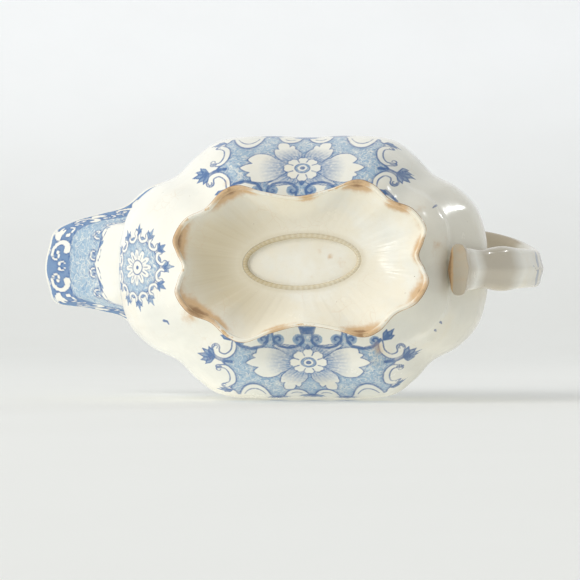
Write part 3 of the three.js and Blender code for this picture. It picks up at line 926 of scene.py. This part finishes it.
def foot_outside(rings):
    """The flare, from the joint down to the rim."""
    rings.add(FOOT_SHAPE, JOINT_LENGTH, JOINT_WIDTH, JOINT_HEIGHT + 0.1, 0.5)
    for t in np.linspace(0, 1, 22):
        waist = 0.8 * math.sin(math.pi * t)
        length = JOINT_LENGTH + (FOOT_LENGTH - JOINT_LENGTH) * t - waist
        width = JOINT_WIDTH + (FOOT_WIDTH - JOINT_WIDTH) * t - waist
        rings.add(FOOT_SHAPE, length, width, 8.7 * (1 - t) + RIM_RISE * t, 0.45 * abs(1 - 2 * t) ** 3)


def foot_rim(rings):
    """The rounded rim, chipped, and worn bare where it rests."""
    chips = 0.12 * waves(rings.turns, 3) + 0.1 * np.abs(waves(rings.turns, 8)) ** 3
    for angle in np.linspace(0, math.pi, 19)[1:]:
        c, s = math.cos(angle), math.sin(angle)
        out = REST_BAND / 2 * (c - 1) - 0.5 * chips * s
        z = RIM_RISE * (1 - s) + 0.4 * np.abs(chips) * s
        dark_edge = 2.8 * max(0, 1 - abs(angle - 0.45) / 0.4) * (0.6 + 0.5 * waves(rings.turns, 7))
        worn = s * (0.4 + 0.3 * waves(rings.turns, 2))
        rings.add(FOOT_SHAPE, FOOT_LENGTH + out, FOOT_WIDTH + out, z, 0.3 * s + dark_edge, worn)


def foot_hollow(rings, toward_lip):
    """The fluted hollow, from the rim's inner edge at 1 to the oval at 0."""
    ripple = waves(rings.turns * 3 % 1, 4)
    for out in np.linspace(1, 0, 76)[1:]:
        form = OVAL_SHAPE + out * (FOOT_SHAPE - OVAL_SHAPE)
        length = OVAL_LENGTH + out * (FOOT_LENGTH - REST_BAND - OVAL_LENGTH)
        width = OVAL_WIDTH + out * (FOOT_WIDTH - REST_BAND - OVAL_WIDTH)
        fold = math.sin(math.pi * out) ** 0.8
        flute = 0.02 * fold * (np.cos(2 * math.pi * FLUTES * rings.turns) + 1.2 * ripple)
        z = RIM_RISE * out + DISH_DEPTH * (1 - out ** DISH_POWER) + flute
        stain_and_shade = 0.12 + 0.34 * ease(0.86, 1.0, out) * (1 + 0.5 * waves(rings.turns, 6))
        # Painted shade: the hollow's slope on the lip's side is painted darker, as it is turned from the
        # light, and so is the dip round the oval.
        painted_shade = 0.66 * toward_lip * fold ** 0.6 * (1 + 0.1 * ripple) + 0.3 * ease(0.12, 0.0, out)
        rings.add(form, length, width, z, stain_and_shade, 0.0, painted_shade)


def foot_beads(rings, toward_lip):
    """The ring of beads round the oval, and the step up inside it."""
    bead = 0.5 + 0.5 * np.cos(2 * math.pi * BEADS * rings.turns)
    for out, rise in ((0.1, 0.0), (-0.15, 0.5), (-0.4, 0.9), (-0.65, 0.9), (-0.9, 0.5), (-1.1, 0.0)):
        z = DISH_DEPTH + 0.15 - rise * (0.14 + 0.12 * bead)
        # Painted shade on the beads, darker on the lip's side.
        painted_shade = 0.5 + 0.3 * toward_lip + 0.2 * bead
        rings.add(OVAL_SHAPE, OVAL_LENGTH + out, OVAL_WIDTH + out, z, 0.3, 0.0, painted_shade)
    # Painted shade down the step inside the beads, darker on the lip's side.
    for inset, below_joint, painted_shade in ((1.2, 0.7, 0.75 + 0.25 * toward_lip), (1.35, 0.05, 0.6)):
        z = JOINT_HEIGHT - below_joint
        rings.add(OVAL_SHAPE, OVAL_LENGTH - inset, OVAL_WIDTH - inset, z, 0.3, 0.0, painted_shade)


def foot():
    rings = FootRings()
    toward_lip = ease(-0.1, 0.95, np.cos(2 * math.pi * rings.turns))
    foot_outside(rings)
    foot_rim(rings)
    foot_hollow(rings, toward_lip)
    foot_beads(rings, toward_lip)
    rows = np.array(rings.points)
    points = placed_on_foot(rows.reshape(-1, 3))
    marks = {name: np.array(values).ravel() for name, values in rings.marks.items()}
    marks["stain_and_shade"] = marks["stain_and_shade"] + 1.1 * patches(points, FOOT_STAINS) * ease(4.6, 0.2, points[:, 2])
    index = np.arange(len(points)).reshape(rows.shape[:2])
    made = mesh_object("foot_ring", points, grid_faces(index, closed=True), FOOT_GLAZE, marks)
    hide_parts("foot")
    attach(made, "root")


foot()


# ---- The base plate ----
PLATE_TURNS = np.arange(320) / 320


def plate_ring(share, z):
    """An oval ring of points. share is its size against the oval in the foot's hollow."""
    length, width = OVAL_LENGTH * share, OVAL_WIDTH * share
    flat = outline(OVAL_FORM, OVAL_FORM, length, length, width, PLATE_TURNS)
    return np.column_stack([flat, np.broadcast_to(z, len(flat))])


def base_plate():
    """The plate's slightly domed underside, then its edge and its top."""
    ripple = 0.04 * waves(PLATE_TURNS, 9)
    rings = []
    for share in np.linspace(0.02, 0.93, 40):
        rings.append(plate_ring(share, 8.75 + 0.22 * share ** 2 + ripple * share))
    rings += [plate_ring(1.15, 9.02), plate_ring(1.2, 12.2), plate_ring(0.02, 12.2)]
    rows = np.array(rings)
    points = placed_on_foot(rows.reshape(-1, 3))
    faces = capped_faces(np.arange(len(points)).reshape(rows.shape[:2]))
    stain_and_shade = np.repeat(0.1 + 0.2 * np.linspace(0, 1, len(rings)) ** 4, len(PLATE_TURNS))
    marks = {"stain_and_shade": stain_and_shade + 0.55 * patches(points, OVAL_STAINS)}
    made = mesh_object("base_oval", points, faces, FOOT_GLAZE, marks)
    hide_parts("base_plate")
    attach(made, "root")


base_plate()


# ---- The handle ----
STRAP_AROUND = 112
STRAP_ALONG = 381
SQUARENESS = 2.6  # of the strap's section: 2 is an ellipse
SPRAY_END = 68  # the leaf spray ends within this distance from the rim, along the strap
# How much painted shade the strap takes at each height: darker and lighter bands that follow how light falls
# on its bends and its knuckle.
SHADE_HEIGHTS = (10, 15, 20, 26, 36, 44, 52, 62, 80)
SHADE_DEPTHS = (1, 0.8, 0.15, 0.85, 0.75, 0.15, 0.2, 0.6, 0.3)


def handle_print(p):
    """A leafy spray down the outside of the handle. The chart's p runs across the strap, q along it."""
    for root in np.arange(18, 60, 9):
        p.ink(stroke(p.at, smooth([(0.8, root - 5), (-0.8, root), (0.8, root + 5)]), 0.34, 0.34))
        for lean in (1, -1):
            leaf = np.array([(0.2, 0), (1.7, -3.2), (5.2, -4.2), (4.0, -0.6)]) * (lean, 1) + (0, root)
            shape = region(p.at, bulged(leaf[::lean], 0.12))
            p.fill(shape, 0.7)
            p.ink(0.12 - np.abs(shape))
            p.ink(stroke(p.at, [(0.3 * lean, root), (3.4 * lean, root - 2.6)], 0.3, 0.12))


def strap_rings(rows, along, wide, deep, at):
    """Rings of points round the strap: flat, with a crest and two grooves, swelling at both ends."""
    across = np.array([0.0, 1.0, 0.0])
    inward = np.cross(along, across)
    inward /= np.linalg.norm(inward, axis=1, keepdims=True)
    crest = 0.1 * np.exp(-((wide / 0.22) ** 2)) * np.abs(deep)
    grooves = 0.07 * np.exp(-(((np.abs(wide) - 0.55) / 0.2) ** 2))
    tail = len(HANDLE) - 1
    swell = 1 + 0.12 * ease(0.6, 0, at) + 0.13 * ease(tail - 0.55, tail - 0.1, at)
    half_widths = rows[:, 3] / 2 * swell
    half_depths = rows[:, 4] / 2 * swell
    out_to_side = (half_widths[:, None] * wide)[:, :, None] * across
    depths = (half_depths[:, None] * deep * (1 + crest - grooves))[:, :, None] * inward[:, None, :]
    return rows[:, None, :3] + out_to_side + depths


def handle():
    knots = open_knots(HANDLE)
    tail = len(HANDLE) - 1
    at = np.linspace(0, tail, STRAP_ALONG)
    rows = through_knots(knots, at)
    ahead = through_knots(knots, np.minimum(at + 0.01, tail))[:, :3]
    behind = through_knots(knots, np.maximum(at - 0.01, 0))[:, :3]
    along = ahead - behind
    along /= np.linalg.norm(along, axis=1, keepdims=True)
    angles = np.linspace(0, 2 * math.pi, STRAP_AROUND, endpoint=False)
    wide = np.sign(np.cos(angles)) * np.abs(np.cos(angles)) ** (2 / SQUARENESS)
    deep = np.sign(np.sin(angles)) * np.abs(np.sin(angles)) ** (2 / SQUARENESS)
    rings = list(strap_rings(rows, along, wide, deep, at))
    end = rings[-1]
    middle = end.mean(axis=0)
    for share in (0.97, 0.9, 0.7, 0.4, 0.1):
        rings.append(middle + (end - middle) * share + 0.45 * (1 - share ** 2) * along[-1])
    rings = np.array(rings)
    points = rings.reshape(-1, 3)
    faces = capped_faces(np.arange(len(points)).reshape(rings.shape[:2]))
    made = mesh_object("strap_handle", points, faces, HANDLE_GLAZE, handle_marks(points, rows, deep))
    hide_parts("handle")
    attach(made, "root")


def handle_marks(points, rows, deep):
    """Print, stains and painted shade. The rings past the last of rows close the tail, and carry no print."""
    ring = np.repeat(np.arange(len(points) // STRAP_AROUND), STRAP_AROUND)
    on_strap = ring < len(rows)
    ring = np.minimum(ring, len(rows) - 1)
    depth = np.tile(deep, len(points) // STRAP_AROUND)
    q = lengths(rows[:, :3])[ring]
    sheet = Sheet(len(points))
    sheet.lay(handle_print, points[:, 1] - rows[ring, 1], q, on_strap & (depth < -0.2) & (q < SPRAY_END))
    marks = sheet.marks()
    height = points[:, 2]
    # Painted shadow on the underside of the strap's upper arm, which is turned from the light.
    underside = ease(83, 88, height) * ease(-0.3, 0.4, depth)
    # Painted shadow: a dark line on the tail's edge next to the bowl, where the gap lies in shadow.
    gap_shadow = ease(-43.8, -42.6, points[:, 0]) * ease(17, 13, height)
    # The stain mark here holds the tail end's real stain, plus the painted shadows above.
    marks["stain_and_shade"] = 0.12 + 0.3 * ease(16, 11, height) + 0.15 * underside + 1.2 * gap_shadow
    # Painted shade along the strap, with the painted shadow under its upper arm.
    marks["painted_shade"] = np.maximum(np.interp(height, SHADE_HEIGHTS, SHADE_DEPTHS), underside)
    return marks


handle()

# ---- Camera ----
DISTANCE = 700.0  # from the camera to the plane of the foot's rim
VIEW_WIDTH = 165.714  # what the view spans at that distance
DRIFT = math.radians(4.5)
DROP = math.radians(0.85)
FOOT_RIGHT = 2.857  # the foot's middle stands this far right of the view's middle
FOOT_UP = 7.486


def make_camera():
    """It looks up at the foot, a little from the handle's end and a little from the table's side."""
    right = Vector((-math.cos(DRIFT), 0, math.sin(DRIFT)))
    level = Vector((math.sin(DRIFT), 0, math.cos(DRIFT)))
    up = math.cos(DROP) * Vector((0, 1, 0)) - math.sin(DROP) * level
    ahead = math.cos(DROP) * level + math.sin(DROP) * Vector((0, 1, 0))
    place = Vector((AXIS_X, 0, 0)) - FOOT_RIGHT * right - FOOT_UP * up - DISTANCE * ahead
    data = bpy.data.cameras.new("camera")
    data.sensor_width = 36
    data.lens = DISTANCE / VIEW_WIDTH * data.sensor_width
    data.clip_start = 0.01
    data.clip_end = 20
    camera = bpy.data.objects.new("camera", data)
    turn = Matrix((right, up, -ahead)).transposed()
    camera.matrix_world = Matrix.Translation(place * MM) @ turn.to_4x4()
    bpy.context.scene.collection.objects.link(camera)
    bpy.context.scene.camera = camera


make_camera()


# ---- Light and stage ----
def area_light(name, place, target, size, power, color, mirrored=True):
    data = bpy.data.lights.new(name, "AREA")
    data.shape = "RECTANGLE"
    data.size, data.size_y = size
    data.energy = power
    data.color = color
    light = bpy.data.objects.new(name, data)
    light.location = place
    light.visible_glossy = mirrored
    light.rotation_euler = (Vector(target) - Vector(place)).to_track_quat("-Z", "Y").to_euler()
    bpy.context.scene.collection.objects.link(light)


def lights():
    """Soft light from the lip's side, small windows that the glaze mirrors, and fill from under the table."""
    jug = (0, 0, 0.02)
    area_light("key", (1.55, 1.1, -0.95), jug, (2.0, 2.0), 37, (1, 0.985, 0.96), False)
    area_light("glint", (0.85, 0.03, -0.88), jug, (0.13, 0.13), 0.9, (1, 0.99, 0.97))
    area_light("window", (-0.75, 0.8, -0.35), jug, (0.03, 0.05), 0.4, (0.95, 0.98, 1))
    area_light("back_window", (-0.95, 0.65, 0.6), jug, (0.03, 0.045), 1.6, (0.96, 0.98, 1))
    area_light("bounce", (0.1, -0.6, -0.14), jug, (0.9, 0.9), 2.6, (1, 0.995, 0.98), False)
    area_light("backdrop", (0, 1.6, 0.4), (0, 0.2, 1.7), (1.6, 0.8), 1.5, (1, 1, 1), False)


def studio_air():
    world = bpy.data.worlds.new("studio")
    bpy.context.scene.world = world
    world.use_nodes = True
    world.node_tree.nodes["Background"].inputs["Color"].default_value = (0.83, 0.84, 0.85, 1)
    world.node_tree.nodes["Background"].inputs["Strength"].default_value = 0.55
    bpy.context.scene.view_settings.view_transform = "Standard"


lights()
studio_air()


SWEEP = 0.9  # radius of the curve behind the table, which starts as far back


def stage_material():
    """Matt paper, a little paler up the sweep, that glows faintly: painted light that lifts the shadows on
    it. Seen from behind it is clear.
    """
    n = Nodes("stage")
    height = n.add("SeparateXYZ", {0: n.place}).outputs["Y"]
    up = n.step(height, -40, 260)
    paper = n.mix(up, colour(212, 213, 210), colour(231, 233, 234))
    paper = n.mix(n.step(n.noise(60, 3, 0.5, 1.0), 0.3, 0.8, 0.05), paper, colour(190, 188, 180))
    n.put(n.shader.inputs["Base Color"], paper)
    n.shader.inputs["Roughness"].default_value = 0.8
    # Painted light: the paper glows a little, lifting its shadows and throwing a little light back onto the
    # jug.
    n.put(n.shader.inputs["Emission Color"], paper)
    n.shader.inputs["Emission Strength"].default_value = 0.26
    n.put(n.shader.inputs["Normal"], n.bump(n.noise(1.5, 3, 0.5, 2.0), 0.02, 0.3))
    behind = n.add("NewGeometry", {}).outputs["Backfacing"]
    clear = n.add("BsdfTransparent", {}).outputs["BSDF"]
    mixed_shader = n.add("MixShader", {0: behind, 1: n.shader.outputs["BSDF"], 2: clear})
    n.put(n.tree.nodes["Material Output"].inputs["Surface"], mixed_shader.outputs["Shader"])
    return n.material


def stage():
    """The table that the jug lies on, with a sweep behind it. It shows only from the jug's side."""
    table_y = CAD_BOX[0].y - 0.0002
    profile = [(table_y, -1.2)]
    for angle in np.linspace(0, math.pi / 2, 13):
        profile.append((table_y + SWEEP * (1 - math.cos(angle)), SWEEP * (1 + math.sin(angle))))
    profile.append((2.5, 2 * SWEEP))
    rows = np.array([[(x, y, z) for x in (-2.5, 2.5)] for y, z in profile])
    mesh = bpy.data.meshes.new("table")
    points = rows.reshape(-1, 3)
    index = np.arange(len(points)).reshape(rows.shape[:2])
    mesh.from_pydata(points.tolist(), [], [f.tolist() for f in grid_faces(index)[:, ::-1]])
    mesh.shade_smooth()
    mesh.materials.append(stage_material())
    made = bpy.data.objects.new("table", mesh)
    bpy.context.scene.collection.objects.link(made)
    made.visible_shadow = False  # the bounce light shines up through it


stage()
